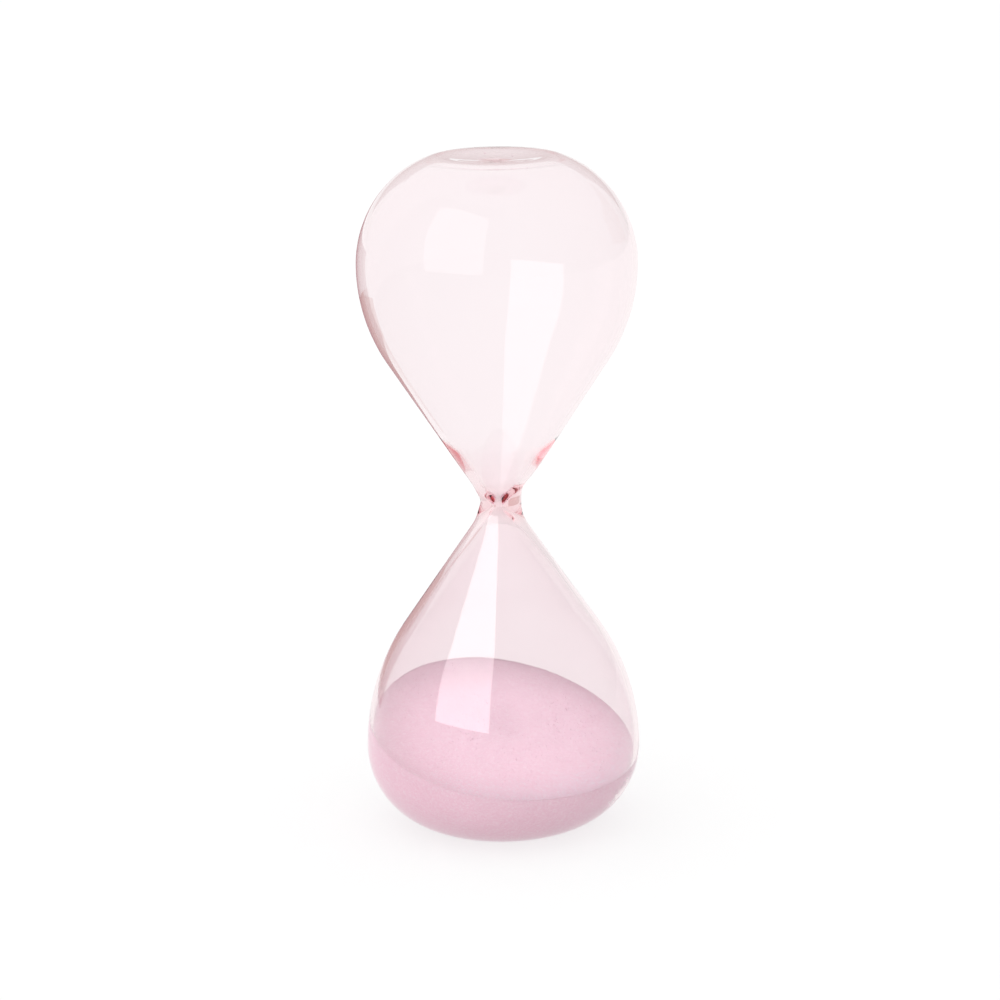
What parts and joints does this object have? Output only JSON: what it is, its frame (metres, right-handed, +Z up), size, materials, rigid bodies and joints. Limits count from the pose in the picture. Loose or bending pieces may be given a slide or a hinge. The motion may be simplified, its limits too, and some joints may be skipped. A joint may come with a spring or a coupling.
{
  "type": "hourglass",
  "caption": "Frameless blown-glass hourglass: teardrop bulbs fused at a thick-walled throat, with loose sand lying aslant in the lower bulb.",
  "frame": {"origin": "centre of the ring that the lower end stands on, in the plane of the table", "axes": "+Z up the glass's axis of revolution; the sand's high side lies 121 degrees from +X towards +Y"},
  "size_m": [0.061, 0.061, 0.1499],
  "materials": {
    "bulb_glass": "clear blown glass with a pale pink body tint",
    "throat_glass": "the same glass, thicker, so its pink reads deeper",
    "sand": "fine dry dyed sand, matte"
  },
  "bodies": {
    "glass": {"lower_bulb": "bulb_glass", "upper_bulb": "bulb_glass", "throat": "throat_glass", "fill_seal": "throat_glass", "clinging_grains": "sand"},
    "sand": {"sand_bed": "sand"}
  },
  "joints": [
    {"name": "sand_swirl", "type": "hinge", "parent": "glass", "child": "sand", "pos_m": [0, 0, 0.02], "axis": [0, 0, 1], "continuous": true}
  ]
}
